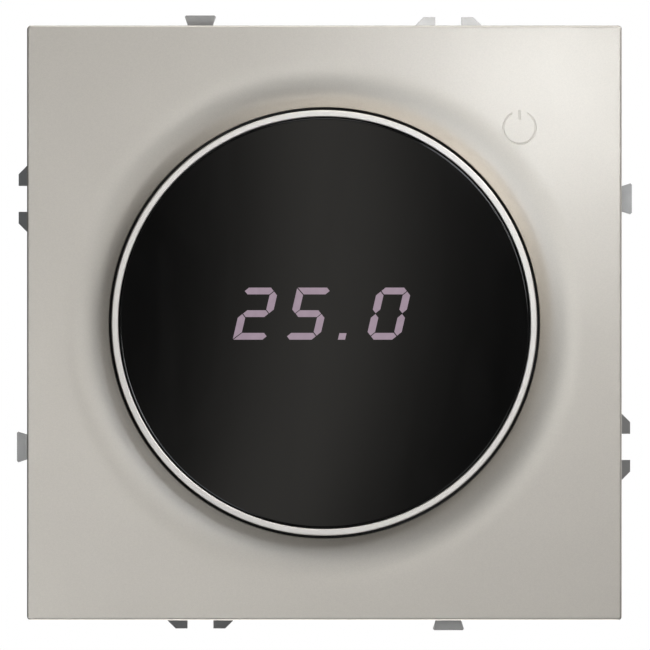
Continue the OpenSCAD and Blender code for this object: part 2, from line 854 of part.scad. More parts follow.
block_top = -10.2;
module terminal_block() {
    half = (terminals - 1) / 2 * terminal_pitch + 3.7;
    color(housing_colour) facing_room() difference() {
        intersection() {
            span([-half, -housing_inner, rear_in], [half, block_top, cage_z[1] + 1.3]);
            translate([0, 0, rear_in - 1]) linear_extrude(housing_depth)
                cut_square(2 * housing_inner, inner_corner);
        }
        at_terminals() {
            // the chamber that the cage slides in, open to the wire entry and the power board
            span([-3.1, -19.9, rear_in - 1], [3.1, block_top - 0.6, cage_z[1] + 2]);
            translate([0, 0, (cage_z[0] + cage_z[1]) / 2]) rotate([90, 0, 0])
                disc(head_r + 0.2, 19, housing_inner + 1);
        }
    }
}

module contact_bars() {
    color(brass_colour) facing_room() at_terminals() {
        span([-bar_half, bar_low, cage_z[0] + 0.2], [bar_half, bar_low + bar_t, power_board_z]);
    }
}

// Head at the bottom with a cross slot, shank up to the contact bar
module terminal_screw() {
    mid_z = (cage_z[0] + cage_z[1]) / 2;
    color(steel_colour) facing_room() translate([0, 0, mid_z]) rotate([-90, 0, 0]) difference() {
        union() {
            disc(head_r, head_bottom, head_top);
            disc(shank_r, head_top - eps, bar_low - 0.05);
        }
        span([-head_r - 1, -0.3, head_bottom - 1], [head_r + 1, 0.3, head_bottom + 0.8]);
        span([-0.3, -1.3, head_bottom - 1], [0.3, 1.3, head_bottom + 0.8]);
    }
}

// A steel cage round the contact bar; the screw draws it down onto the wire
module terminal_cage() {
    mid_z = (cage_z[0] + cage_z[1]) / 2;
    color(steel_colour) facing_room() difference() {
        span([-cage_w / 2, cage_low, cage_z[0]], [cage_w / 2, cage_top, cage_z[1]]);
        span([cage_side - cage_w / 2, cage_low + cage_low_wall, cage_z[0] - 1],
            [cage_w / 2 - cage_side, cage_top - cage_top_wall, cage_z[1] + 1]);
        translate([0, 0, mid_z]) rotate([-90, 0, 0]) disc(shank_r + running_gap, cage_low - 1, cage_low + 2);
    }
}

module at_terminal(number) {
    translate([(number - (terminals + 1) / 2) * terminal_pitch, 0, 0]) children();
}

front_plate();
carrier_frame();
setting_ring_trim();
setting_ring_drum();
glide_ring();
detent_spring();
encoder_body();
encoder_pinion();
display_glass();
segment_windows();
glass_adhesive();
display_housing();
segment_block();
segment_leds();
display_board();
control_board();
controller_chip();
board_link_pins();
hub_screws();
touch_spring();
room_sensor();
plug_header();
plug_pins();
support_frame();
frame_screws();
insert_cover();
insert_housing();
power_board();
socket_header();
relay_case();
relay_pins();
transformer_core();
transformer_coil();
mains_capacitor();
bulk_capacitor();
fuse();
varistor();
bridge_rectifier();
terminal_block();
contact_bars();
at_terminal(1) terminal_screw();  // terminal_screw_1
at_terminal(2) terminal_screw();  // terminal_screw_2
at_terminal(3) terminal_screw();  // terminal_screw_3
at_terminal(4) terminal_screw();  // terminal_screw_4
at_terminal(5) terminal_screw();  // terminal_screw_5
at_terminal(1) terminal_cage();  // terminal_cage_1
at_terminal(2) terminal_cage();  // terminal_cage_2
at_terminal(3) terminal_cage();  // terminal_cage_3
at_terminal(4) terminal_cage();  // terminal_cage_4
at_terminal(5) terminal_cage();  // terminal_cage_5
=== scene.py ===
# Looks of the flush wall thermostat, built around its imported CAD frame.
#
# Shapes are drawn in the panel frame, in millimetres: x to the right, y up, z out of the wall
# towards the room. PANEL turns them into the row frame in metres.
import math

import bmesh
import bpy
from mathutils import Matrix, Vector
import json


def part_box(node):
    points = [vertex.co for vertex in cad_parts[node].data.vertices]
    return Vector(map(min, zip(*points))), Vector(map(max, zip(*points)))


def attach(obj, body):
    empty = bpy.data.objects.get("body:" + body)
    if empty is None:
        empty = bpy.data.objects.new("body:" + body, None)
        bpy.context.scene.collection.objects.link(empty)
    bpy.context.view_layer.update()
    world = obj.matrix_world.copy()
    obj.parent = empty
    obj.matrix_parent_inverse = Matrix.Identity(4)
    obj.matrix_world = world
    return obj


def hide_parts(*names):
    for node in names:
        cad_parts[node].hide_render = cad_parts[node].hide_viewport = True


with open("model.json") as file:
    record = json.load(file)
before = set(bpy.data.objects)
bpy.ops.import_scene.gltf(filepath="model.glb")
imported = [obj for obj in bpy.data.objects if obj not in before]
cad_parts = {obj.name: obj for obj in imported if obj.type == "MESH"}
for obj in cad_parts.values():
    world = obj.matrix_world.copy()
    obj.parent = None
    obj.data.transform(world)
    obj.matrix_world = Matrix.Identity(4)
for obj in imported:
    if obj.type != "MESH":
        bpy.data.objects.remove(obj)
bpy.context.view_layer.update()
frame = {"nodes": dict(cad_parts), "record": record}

MM = 0.001
PANEL = Matrix.Rotation(math.pi / 2, 4, "X") @ Matrix.Scale(MM, 4)
TURN_STEPS = 360

# Shading: which edges are smooth, and when a face counts as large beside its neighbour
SMOOTH_BELOW = math.radians(38)
AREA_STEP = 6

# Rounding of CAD pieces: what is welded, taken as flat, or rounded
WELD = 0.0005
FLAT_BELOW = math.radians(0.5)
ROUND_ABOVE = math.radians(30)
ROUND_SEGMENTS = 2


# ---------- sizes that the frame gives ----------

def panel_box(node):
    """A CAD node's lowest and highest corner in the panel frame, in millimetres."""
    low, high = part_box(node)
    return (Vector((low.x, low.z, -high.y)) / MM, Vector((high.x, high.z, -low.y)) / MM)


plate_low, plate_high = panel_box("front_plate")
trim_low, trim_high = panel_box("setting_ring_trim")
glass_low, glass_high = panel_box("display_glass")
drum_high = panel_box("setting_ring_drum")[1]

# The plate, its dish and its hole; LOOP keeps a flat face's shading beside a rounded edge
PLATE_HALF = plate_high.x
PLATE_FRONT = plate_high.z
PLATE_WALL = 1.5
SKIRT_WALL = 1.0
HOLE_R = 23.22
DISH_R = 28.2
DISH_ARC_R = 11.7
LIP_BACK = 7.6
LIP_R = 25.6
UNDERCUT_Z = 8.1
LIP_EDGE = 0.15
PLATE_CORNER = 0.42
SMALLEST_CORNER = 0.02
PLATE_EDGE = 0.22
PLATE_EDGE_STEPS = 5
PLATE_BORDER = 1.2
SKIRT_EDGE = 0.1
HOLE_EDGE = 0.06
HOLE_EDGE_MIDDLE = (0.02, 0.01)
LOOP = 0.06
DISH_STEPS = 14
EVEN_RAYS = 480
CORNER_RAYS = 8

# The latches inside the skirt
LATCH_W = 7
LATCH_AT = 22.8
LATCH_Z = (7.3, 8)
LATCH_REACH = 0.6
LATCH_ROOT = 0.3

# The engraved power symbol
SYMBOL_AT = 21
SYMBOL_R = 1.74
SYMBOL_GAP = math.radians(27)
SYMBOL_BAR = (0.82, 1.91)
SYMBOL_ARC_STEPS = 72
SYMBOL_BAR_STEPS = 4
GROOVE_HALF = 0.1
GROOVE_FLOOR_HALF = 0.05
GROOVE_DEPTH = 0.08

# The ring's metal face and the glass
TRIM_WALL = 0.7
TRIM_EDGE = 0.13
TRIM_BACK_EDGE = 0.06
TRIM_STEP = 0.4
GLASS_CHAMFER = 0.16
GLASS_CHAMFER_MIDDLE = 0.3
GLASS_BACK_EDGE = 0.05
WINDOW_STRETCH = 1.2


# ---------- mesh helpers ----------

def finish_mesh(bm):
    """Makes all normals point outwards and smooths what bends less than the limit."""
    bmesh.ops.recalc_face_normals(bm, faces=bm.faces)
    for face in bm.faces:
        face.smooth = True
    for edge in bm.edges:
        edge.smooth = len(edge.link_faces) == 2 and edge.calc_face_angle(math.pi) < SMOOTH_BELOW


def as_object(name, bm):
    mesh = bpy.data.meshes.new(name)
    finish_mesh(bm)
    bm.to_mesh(mesh)
    bm.free()
    obj = bpy.data.objects.new(name, mesh)
    bpy.context.scene.collection.objects.link(obj)
    return obj


def settle(obj):
    """Applies all modifiers of an object."""
    evaluated = obj.evaluated_get(bpy.context.evaluated_depsgraph_get())
    mesh = bpy.data.meshes.new_from_object(evaluated)
    obj.modifiers.clear()
    obj.data = mesh
    mesh.name = obj.name


def combine(obj, other, operation):
    """Cuts other from obj, or adds it, and removes other."""
    modifier = obj.modifiers.new("solid", "BOOLEAN")
    modifier.operation = operation
    modifier.solver = "EXACT"
    modifier.object = other
    settle(obj)
    bpy.data.objects.remove(other)


def even_normals(obj):
    """Lets large faces keep their own normal next to narrow rounded edges."""
    bm = bmesh.new()
    bm.from_mesh(obj.data)
    finish_mesh(bm)
    bm.to_mesh(obj.data)
    bm.free()
    modifier = obj.modifiers.new("normals", "WEIGHTED_NORMAL")
    modifier.keep_sharp = True
    modifier.weight = 100
    settle(obj)


def place(obj, body, slot, material, *nodes):
    """Puts a piece drawn in the panel frame in its place, for the CAD nodes that it stands for."""
    obj.data.transform(PANEL)
    obj.data.materials.clear()
    obj.data.materials.append(material)
    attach(obj, body)
    if nodes:
        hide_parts(*nodes)


def round_point(radius, turn, z=0.0):
    """The point at a radius and an angle about the panel's z axis."""
    return Vector((radius * math.cos(turn), radius * math.sin(turn), z))


def close_outlines(bm, outlines):
    """Faces from each closed outline of points to the next, and from the last to the first."""
    for k, here in enumerate(outlines):
        there = outlines[(k + 1) % len(outlines)]
        for i in range(len(here)):
            j = (i + 1) % len(here)
            bm.faces.new((here[i], there[i], there[j], here[j]))


def stack_rings(bm, rings):
    """Faces from each ring of points to the next, and over both ends of the stack."""
    for low, high in zip(rings, rings[1:]):
        for k in range(len(low)):
            n = (k + 1) % len(low)
            bm.faces.new((low[k], low[n], high[n], high[k]))
    bm.faces.new(list(reversed(rings[0])))
    bm.faces.new(rings[-1])


def turned(name, profile):
    """A solid of revolution round the panel's z axis from a closed outline of (radius, z)."""
    bm = bmesh.new()
    turns = [2 * math.pi * k / TURN_STEPS for k in range(TURN_STEPS)]
    close_outlines(bm, [[bm.verts.new(round_point(r, turn, z)) for r, z in profile]
                        for turn in turns])
    return as_object(name, bm)


def rounded(corner, radius, start, end, steps=4):
    """Points of an arc round a corner's inner side; start and end are its angles in degrees."""
    angles = [math.radians(start + (end - start) * i / steps) for i in range(steps + 1)]
    return [(corner[0] + radius * math.cos(a), corner[1] + radius * math.sin(a)) for a in angles]


def part_large_faces(bm):
    """Parts each large face from the narrow rounded edges beside it, so that it shades evenly."""
    for edge in bm.edges:
        if edge.smooth:
            areas = sorted(face.calc_area() for face in edge.link_faces)
            edge.smooth = areas[1] < AREA_STEP * areas[0]


def softened(node, width, body, slot, material):
    """A copy of a CAD node with its sharp edges rounded, which stands for the node."""
    obj = bpy.data.objects.new(node + "_soft", frame["nodes"][node].data.copy())
    bpy.context.scene.collection.objects.link(obj)
    bm = bmesh.new()
    bm.from_mesh(obj.data)
    bm.transform(PANEL.inverted())
    bmesh.ops.remove_doubles(bm, verts=bm.verts, dist=WELD)
    bmesh.ops.dissolve_limit(bm, angle_limit=FLAT_BELOW, verts=bm.verts, edges=bm.edges)
    sharp = [edge for edge in bm.edges
             if len(edge.link_faces) == 2 and edge.calc_face_angle(0) > ROUND_ABOVE]
    bmesh.ops.bevel(bm, geom=sharp, offset=width, offset_type="OFFSET", segments=ROUND_SEGMENTS,
                    profile=0.5, affect="EDGES", clamp_overlap=True)
    finish_mesh(bm)
    part_large_faces(bm)
    bm.to_mesh(obj.data)
    bm.free()
    place(obj, body, slot, material, node)


# ---------- materials ----------

LACQUER_ROUGHNESS = 0.4
TRIM_ROUGHNESS = 0.42
FLAKE_MM = 0.09
NOISE_RANGE = (0.3, 0.7)


def node_tree(name):
    material = bpy.data.materials.new(name)
    material.use_nodes = True
    tree = material.node_tree
    shader = next(n for n in tree.nodes if n.type == "BSDF_PRINCIPLED")
    return material, tree, shader


def add(tree, kind, inputs=(), **settings):
    """A new node; inputs is a dict of socket name or number to a value or an output to link."""
    node = tree.nodes.new(kind)
    for key, value in settings.items():
        setattr(node, key, value)
    for key, value in dict(inputs).items():
        if isinstance(value, bpy.types.NodeSocket):
            tree.links.new(value, node.inputs[key])
        else:
            node.inputs[key].default_value = value
    return node


def object_point(tree):
    return add(tree, "ShaderNodeTexCoord").outputs["Object"]


def noise(tree, size_mm, detail=2.0, stretch=(1, 1, 1), distortion=0.0):
    """Noise with features of a given size, stretched along the row frame's axes."""
    scale = [1 / s for s in stretch]
    mapping = add(tree, "ShaderNodeMapping", {"Vector": object_point(tree), "Scale": scale})
    texture = add(tree, "ShaderNodeTexNoise", {
        "Vector": mapping.outputs[0], "Scale": 1 / (size_mm * MM),
        "Detail": detail, "Distortion": distortion})
    return texture.outputs["Fac"]


def spread(tree, value, low, high):
    """Maps noise around its middle to the range from low to high."""
    noise_low, noise_high = NOISE_RANGE
    return add(tree, "ShaderNodeMapRange", {
        "Value": value, "From Min": noise_low, "From Max": noise_high,
        "To Min": low, "To Max": high}).outputs[0]


def tinted(tree, colour, value, amount):
    """The colour, darker and lighter by an amount as a noise value goes."""
    dark = [c * (1 - amount) for c in colour] + [1]
    light = [min(1, c * (1 + amount)) for c in colour] + [1]
    factor = spread(tree, value, 0, 1)
    mix = add(tree, "ShaderNodeMix", {0: factor, 6: dark, 7: light}, data_type="RGBA")
    return mix.outputs[2]


def maths(tree, operation, first, second=0.0):
    return add(tree, "ShaderNodeMath", {0: first, 1: second}, operation=operation).outputs[0]


def bump(tree, value, depth_mm, below=None):
    """The normal over relief of a given depth, on top of the relief below if there is one."""
    inputs = {"Height": value, "Distance": depth_mm * MM, "Strength": 1}
    if below is not None:
        inputs["Normal"] = below
    return add(tree, "ShaderNodeBump", inputs).outputs[0]


def moulded(name, colour, roughness=0.5, texture_mm=0.12, depth_mm=0.004, tone=0.05, coat=0.0):
    """Moulded plastic: fine spark-eroded texture, slow changes of tone and gloss."""
    material, tree, shader = node_tree(name)
    fine = noise(tree, texture_mm, detail=3)
    slow = noise(tree, size_mm=6, detail=2)
    patches = noise(tree, texture_mm * 5)
    tree.links.new(tinted(tree, colour, slow, tone), shader.inputs["Base Color"])
    tree.links.new(spread(tree, patches, roughness - 0.05, roughness + 0.07),
                   shader.inputs["Roughness"])
    tree.links.new(bump(tree, fine, depth_mm), shader.inputs["Normal"])
    shader.inputs["Coat Weight"].default_value = coat
    return material


def rolled_sheet(name, colour, roughness=0.38, grain=(14, 1, 1), tone=0.08):
    """Plated sheet metal: rolling marks along the grain and cloudy plating."""
    material, tree, shader = node_tree(name)
    lines = noise(tree, size_mm=0.12, detail=3, stretch=grain)
    clouds = noise(tree, size_mm=2.5, detail=4, distortion=0.6)
    tree.links.new(tinted(tree, colour, clouds, tone), shader.inputs["Base Color"])
    tree.links.new(spread(tree, lines, roughness - 0.08, roughness + 0.1),
                   shader.inputs["Roughness"])
    tree.links.new(bump(tree, lines, depth_mm=0.002), shader.inputs["Normal"])
    shader.inputs["Metallic"].default_value = 1
    return material


def radius_mm(tree):
    """Distance from the ring's axis, in millimetres."""
    flat = add(tree, "ShaderNodeVectorMath", {0: object_point(tree), 1: (1, 0, 1)},
               operation="MULTIPLY")
    length = add(tree, "ShaderNodeVectorMath", {0: flat.outputs[0]}, operation="LENGTH")
    return maths(tree, "MULTIPLY", length.outputs["Value"], 1 / MM)


def turned_metal(name, colour):
    """Satin metal with fine marks that run round the ring's axis."""
    material, tree, shader = node_tree(name)
    marks = add(tree, "ShaderNodeTexNoise", {"W": radius_mm(tree), "Scale": 12, "Detail": 3},
                noise_dimensions="1D").outputs["Fac"]
    clouds = noise(tree, size_mm=4, detail=2)
    tree.links.new(tinted(tree, colour, clouds, amount=0.03), shader.inputs["Base Color"])
    tree.links.new(spread(tree, marks, TRIM_ROUGHNESS - 0.04, TRIM_ROUGHNESS + 0.06),
                   shader.inputs["Roughness"])
    tree.links.new(bump(tree, marks, depth_mm=0.0005), shader.inputs["Normal"])
    tree.links.new(add(tree, "ShaderNodeTangent", direction_type="RADIAL", axis="Y").outputs[0],
                   shader.inputs["Tangent"])
    shader.inputs["Metallic"].default_value = 0.75
    shader.inputs["Anisotropic"].default_value = 0.15
    return material


def lug_metal(name, colour):
    """Grey metal-filled plastic with a cast skin: a broad sheen and small pits."""
    material, tree, shader = node_tree(name)
    skin = noise(tree, size_mm=0.25, detail=3)
    clouds = noise(tree, size_mm=3, detail=3)
    tree.links.new(tinted(tree, colour, clouds, amount=0.07), shader.inputs["Base Color"])
    tree.links.new(spread(tree, skin, low=0.34, high=0.42), shader.inputs["Roughness"])
    tree.links.new(bump(tree, skin, depth_mm=0.003), shader.inputs["Normal"])
    shader.inputs["Metallic"].default_value = 0.75
    return material


def metallic_lacquer(name, colour):
    """Satin lacquer with fine metal flakes under a thin coat."""
    material, tree, shader = node_tree(name)
    flakes = add(tree, "ShaderNodeTexVoronoi", {"Vector": object_point(tree),
                                                "Scale": 1 / (FLAKE_MM * MM)})
    flake = add(tree, "ShaderNodeSeparateColor", {0: flakes.outputs["Color"]}).outputs[0]
    base = tinted(tree, colour, noise(tree, size_mm=9, detail=1), amount=0.012)
    glint = add(tree, "ShaderNodeMapRange", {"Value": flake, "To Min": 0.965, "To Max": 1.035})
    scaled = add(tree, "ShaderNodeVectorMath", {0: base, "Scale": glint.outputs[0]},
                 operation="SCALE")
    tree.links.new(scaled.outputs[0], shader.inputs["Base Color"])
    tree.links.new(spread(tree, flake, LACQUER_ROUGHNESS - 0.03, LACQUER_ROUGHNESS + 0.03),
                   shader.inputs["Roughness"])
    peel = bump(tree, noise(tree, size_mm=0.7, detail=2), depth_mm=0.0012)
    tree.links.new(bump(tree, flake, depth_mm=0.0006, below=peel), shader.inputs["Normal"])
    shader.inputs["Metallic"].default_value = 0.8
    shader.inputs["Coat Weight"].default_value = 0.12
    shader.inputs["Coat Roughness"].default_value = 0.25
    return material


def black_glass(name, colour):
    """Polished glass over black print, with faint wipe marks in the gloss."""
    material, tree, shader = node_tree(name)
    smears = noise(tree, size_mm=7, detail=3, stretch=(1, 1, 3), distortion=1.2)
    waves = noise(tree, size_mm=5, detail=1)
    tree.links.new(tinted(tree, colour, smears, amount=0.1), shader.inputs["Base Color"])
    tree.links.new(spread(tree, smears, low=0.05, high=0.075), shader.inputs["Roughness"])
    tree.links.new(bump(tree, waves, depth_mm=0.0004), shader.inputs["Normal"])
    shader.inputs["IOR"].default_value = 1.5
    return material


def lit_segment(name, colour):
    """Light guide flush with the glass: lit, a little uneven along each segment."""
    material, tree, shader = node_tree(name)
    uneven = noise(tree, size_mm=0.9, detail=2)
    unlit = [c * 0.12 for c in colour]
    tree.links.new(tinted(tree, colour, uneven, amount=0.05), shader.inputs["Emission Color"])
    tree.links.new(tinted(tree, unlit, uneven, amount=0.1), shader.inputs["Base Color"])
    tree.links.new(spread(tree, uneven, low=0.05, high=0.08), shader.inputs["Roughness"])
    shader.inputs["Emission Strength"].default_value = 0.74
    return material


def laminate(name):
    """Circuit board: solder mask over copper tracks and a glass weave."""
    material, tree, shader = node_tree(name)
    tracks = add(tree, "ShaderNodeTexBrick", {
        "Vector": object_point(tree), "Scale": 260, "Mortar Size": 0.012,
        "Color1": (0.02, 0.15, 0.06, 1), "Color2": (0.03, 0.19, 0.08, 1),
        "Mortar": (0.05, 0.28, 0.12, 1)})
    weave = noise(tree, size_mm=0.4)
    tree.links.new(tracks.outputs["Color"], shader.inputs["Base Color"])
    tree.links.new(spread(tree, weave, low=0.28, high=0.4), shader.inputs["Roughness"])
    tree.links.new(bump(tree, tracks.outputs["Fac"], depth_mm=0.02), shader.inputs["Normal"])
    return material


MATERIALS = {
    "plate_lacquer": metallic_lacquer("plate_lacquer", (0.58, 0.545, 0.49)),
    "trim_metal": turned_metal("trim_metal", (0.77, 0.735, 0.69)),
    "lug_grey": lug_metal("lug_grey", (0.37, 0.367, 0.36)),
    "black_plastic": moulded("black_plastic", (0.012, 0.012, 0.012), roughness=0.5),
    "white_plastic": moulded("white_plastic", (0.80, 0.79, 0.74), roughness=0.4, tone=0.02),
    "display_glass": black_glass("display_glass", (0.0042, 0.0041, 0.004)),
    "segment_light": lit_segment("segment_light", (0.40, 0.305, 0.375)),
    "adhesive": moulded("adhesive", (0.02, 0.02, 0.02), roughness=0.85,
                        texture_mm=0.3, depth_mm=0.03),
    "board_green": laminate("board_green"),
    "chip_black": moulded("chip_black", (0.025, 0.025, 0.027), roughness=0.55, texture_mm=0.08),
    "led_body": moulded("led_body", (0.86, 0.78, 0.45), roughness=0.25, coat=0.5),
    "spring_steel": rolled_sheet("spring_steel", (0.62, 0.62, 0.63), roughness=0.25, tone=0.04),
    "zinc_steel": rolled_sheet("zinc_steel", (0.60, 0.61, 0.63)),
    "screw_steel": rolled_sheet("screw_steel", (0.60, 0.61, 0.60), roughness=0.3, grain=(1, 1, 1)),
    "brass": rolled_sheet("brass", (0.72, 0.52, 0.20), roughness=0.3, grain=(1, 8, 1)),
    "housing_grey": moulded("housing_grey", (0.60, 0.60, 0.58), roughness=0.5,
                            texture_mm=0.16, tone=0.03),
    "terminal_dark": moulded("terminal_dark", (0.07, 0.075, 0.085), roughness=0.45),
    "relay_blue": moulded("relay_blue", (0.03, 0.12, 0.36), roughness=0.35),
    "core_iron": rolled_sheet("core_iron", (0.13, 0.12, 0.12), roughness=0.55,
                              grain=(12, 1, 12), tone=0.15),
    "coil_tape": moulded("coil_tape", (0.78, 0.56, 0.08), roughness=0.3,
                         texture_mm=0.5, depth_mm=0.02, coat=0.3),
    "capacitor_yellow": moulded("capacitor_yellow", (0.76, 0.60, 0.07), roughness=0.3, coat=0.3),
    "capacitor_sleeve": moulded("capacitor_sleeve", (0.02, 0.04, 0.10), roughness=0.28, coat=0.4),
    "fuse_brown": moulded("fuse_brown", (0.20, 0.09, 0.035), roughness=0.3, coat=0.3),
    "varistor_blue": moulded("varistor_blue", (0.03, 0.10, 0.36), roughness=0.3,
                             texture_mm=0.6, depth_mm=0.02),
}
SLOT_OF = {entry["node"]: entry["material_slot"] for entry in frame["record"]["subparts"]}
BODY_OF = {node: body for body, nodes in frame["record"]["behaviour"]["bodies"].items()
           for node in nodes}


# ---------- the front plate ----------

def square_reach(half, corner, turn):
    """Distance from the centre to the edge of a rounded square along a ray."""
    c, s = sorted((abs(math.cos(turn)), abs(math.sin(turn))), reverse=True)
    reach = half / c
    inner = half - corner
    if reach * s <= inner:
        return reach
    along = c * inner + s * inner
    return along + math.sqrt(along * along - 2 * inner * inner + corner * corner)


def plate_rays():
    """Angles of the rays: even round the hole, dense across each rounded corner."""
    even = [2 * math.pi * k / EVEN_RAYS for k in range(EVEN_RAYS)]
    start = math.atan2(PLATE_HALF - PLATE_CORNER, PLATE_HALF)
    across = math.pi / 2 - 2 * start
    dense = [start + across * i / CORNER_RAYS for i in range(CORNER_RAYS + 1)]
    extra = [quarter * math.pi / 2 + a for quarter in range(4) for a in dense]
    return sorted(set(round(a, 9) for a in even + extra))


def dish_height(radius):
    """Height of the dish, whose side is an arc that meets the plate's face without a step."""
    return PLATE_FRONT - DISH_ARC_R + math.sqrt(DISH_ARC_R ** 2 - (DISH_R - radius) ** 2)


def plate_section():
    """The plate's cross-section as (shape, size, z), once round from the hole's lower edge."""
    back = PLATE_FRONT - PLATE_WALL
    skirt_low = plate_low.z
    top = dish_height(HOLE_R)
    inner = PLATE_HALF - SKIRT_WALL
    middle_r, middle_z = HOLE_EDGE_MIDDLE
    dish_width = DISH_R - HOLE_R - HOLE_EDGE
    dish = [HOLE_R + HOLE_EDGE + dish_width * i / DISH_STEPS for i in range(DISH_STEPS + 1)]
    edge = rounded((-PLATE_EDGE, -PLATE_EDGE), PLATE_EDGE, 90, 0, PLATE_EDGE_STEPS)
    section = [
        ("round", HOLE_R + LIP_EDGE, LIP_BACK),
        ("round", HOLE_R, LIP_BACK + LIP_EDGE),
        ("round", HOLE_R, top - HOLE_EDGE),
        ("round", HOLE_R + middle_r, top - middle_z),
    ]
    section += [("round", r, dish_height(r)) for r in dish]
    section += [
        ("round", DISH_R + LOOP, PLATE_FRONT),
        ("square", PLATE_HALF - PLATE_BORDER, PLATE_FRONT),
        ("square", PLATE_HALF - PLATE_EDGE - LOOP, PLATE_FRONT),
    ]
    section += [("square", PLATE_HALF + dx, PLATE_FRONT + dz) for dx, dz in edge]
    section += [
        ("square", PLATE_HALF, skirt_low + SKIRT_EDGE),
        ("square", PLATE_HALF - SKIRT_EDGE, skirt_low),
        ("square", inner + SKIRT_EDGE, skirt_low),
        ("square", inner, skirt_low + SKIRT_EDGE),
        ("square", inner, back),
        ("round", DISH_R, back),
        ("round", DISH_R, UNDERCUT_Z),
        ("round", LIP_R, UNDERCUT_Z),
        ("round", LIP_R, LIP_BACK),
    ]
    return section


def groove_cutter(name, path):
    """A bar with sloping sides along a path on the plate's face, wider above than below."""
    slope = (GROOVE_HALF - GROOVE_FLOOR_HALF) / GROOVE_DEPTH
    over = GROOVE_HALF + slope * GROOVE_DEPTH
    outline = ((-over, GROOVE_DEPTH), (-GROOVE_FLOOR_HALF, -GROOVE_DEPTH),
               (GROOVE_FLOOR_HALF, -GROOVE_DEPTH), (over, GROOVE_DEPTH))
    bm = bmesh.new()
    rings = []
    for i, point in enumerate(path):
        ahead = (path[min(i + 1, len(path) - 1)] - path[max(i - 1, 0)]).normalized()
        across = Vector((-ahead.y, ahead.x, 0))
        rings.append([bm.verts.new(point + across * side + Vector((0, 0, height)))
                      for side, height in outline])
    stack_rings(bm, rings)
    return as_object(name, bm)


def block(name, low, high):
    bm = bmesh.new()
    bmesh.ops.create_cube(bm, size=1)
    low, high = Vector(low), Vector(high)
    for vert in bm.verts:
        vert.co = Vector([low[i] + (vert.co[i] + 0.5) * (high[i] - low[i]) for i in range(3)])
    return as_object(name, bm)


def make_plate_shell():
    """The plate without latches and symbol: its cross-section carried round the hole."""
    section = plate_section()
    bm = bmesh.new()
    rays = []
    for turn in plate_rays():
        ray = []
        for shape, size, z in section:
            corner = max(PLATE_CORNER - (PLATE_HALF - size), SMALLEST_CORNER)
            reach = size if shape == "round" else square_reach(size, corner, turn)
            ray.append(bm.verts.new(round_point(reach, turn, z)))
        rays.append(ray)
    close_outlines(bm, rays)
    return as_object("front_plate_shell", bm)


def add_latches(plate):
    """Two latches inside each side of the skirt."""
    inner = PLATE_HALF - SKIRT_WALL
    for quarter in range(4):
        for side in (-1, 1):
            low = (side * LATCH_AT - LATCH_W / 2, inner - LATCH_REACH, LATCH_Z[0])
            high = (side * LATCH_AT + LATCH_W / 2, inner + LATCH_ROOT, LATCH_Z[1])
            latch = block("latch", low, high)
            latch.data.transform(Matrix.Rotation(quarter * math.pi / 2, 4, "Z"))
            combine(plate, latch, "UNION")


def symbol_paths():
    """The power symbol's middle lines: a circle with a gap at the top, and a bar in the gap."""
    start = math.pi / 2 + SYMBOL_GAP
    end = math.pi / 2 + 2 * math.pi - SYMBOL_GAP
    ring = [round_point(SYMBOL_R, start + (end - start) * i / SYMBOL_ARC_STEPS)
            for i in range(SYMBOL_ARC_STEPS + 1)]
    low, high = SYMBOL_BAR
    bar = [Vector((0, low + (high - low) * i / SYMBOL_BAR_STEPS, 0))
           for i in range(SYMBOL_BAR_STEPS + 1)]
    return ring, bar


def make_front_plate():
    plate = make_plate_shell()
    add_latches(plate)
    centre = Vector((SYMBOL_AT, SYMBOL_AT, PLATE_FRONT))
    for path in symbol_paths():
        combine(plate, groove_cutter("groove", [centre + p for p in path]), "DIFFERENCE")
    even_normals(plate)
    place(plate, "base", "plate_lacquer", MATERIALS["plate_lacquer"], "front_plate")


# ---------- ring and display ----------

def make_trim():
    outer, front = trim_high.x, trim_high.z
    inner = outer - TRIM_WALL
    step_r, step_z = outer - TRIM_STEP, drum_high.z
    edge = TRIM_EDGE
    profile = [(step_r, trim_low.z), (outer - TRIM_BACK_EDGE, trim_low.z),
               (outer, trim_low.z + TRIM_BACK_EDGE)]
    profile += rounded((outer - edge, front - edge), edge, 0, 90)
    profile += rounded((inner + edge, front - edge), edge, 90, 180)
    profile += [(inner, step_z), (step_r, step_z)]
    ring = turned("setting_ring_face", profile)
    even_normals(ring)
    place(ring, "setting_ring", "trim_metal", MATERIALS["trim_metal"], "setting_ring_trim")


def make_glass():
    r, back, front = glass_high.x, glass_low.z, glass_high.z
    chamfer = GLASS_CHAMFER
    middle = chamfer * GLASS_CHAMFER_MIDDLE
    side = [(r - GLASS_BACK_EDGE, back), (r, back + GLASS_BACK_EDGE), (r, front - chamfer),
            (r - middle, front - middle), (r - chamfer, front)]
    bm = bmesh.new()
    stack_rings(bm, [[bm.verts.new(round_point(radius, 2 * math.pi * k / TURN_STEPS, z))
                      for k in range(TURN_STEPS)] for radius, z in side])
    glass = as_object("display_glass_disc", bm)

    windows = bpy.data.objects.new("windows", frame["nodes"]["segment_windows"].data.copy())
    bpy.context.scene.collection.objects.link(windows)
    windows.data.transform(PANEL.inverted())
    centre = Vector((0, 0, (front + back) / 2))
    stretch = Matrix.Scale(WINDOW_STRETCH, 4, (0, 0, 1))
    windows.data.transform(Matrix.Translation(centre) @ stretch @ Matrix.Translation(-centre))
    combine(glass, windows, "DIFFERENCE")
    even_normals(glass)
    place(glass, "base", "display_glass", MATERIALS["display_glass"], "display_glass")


make_front_plate()
make_trim()
make_glass()

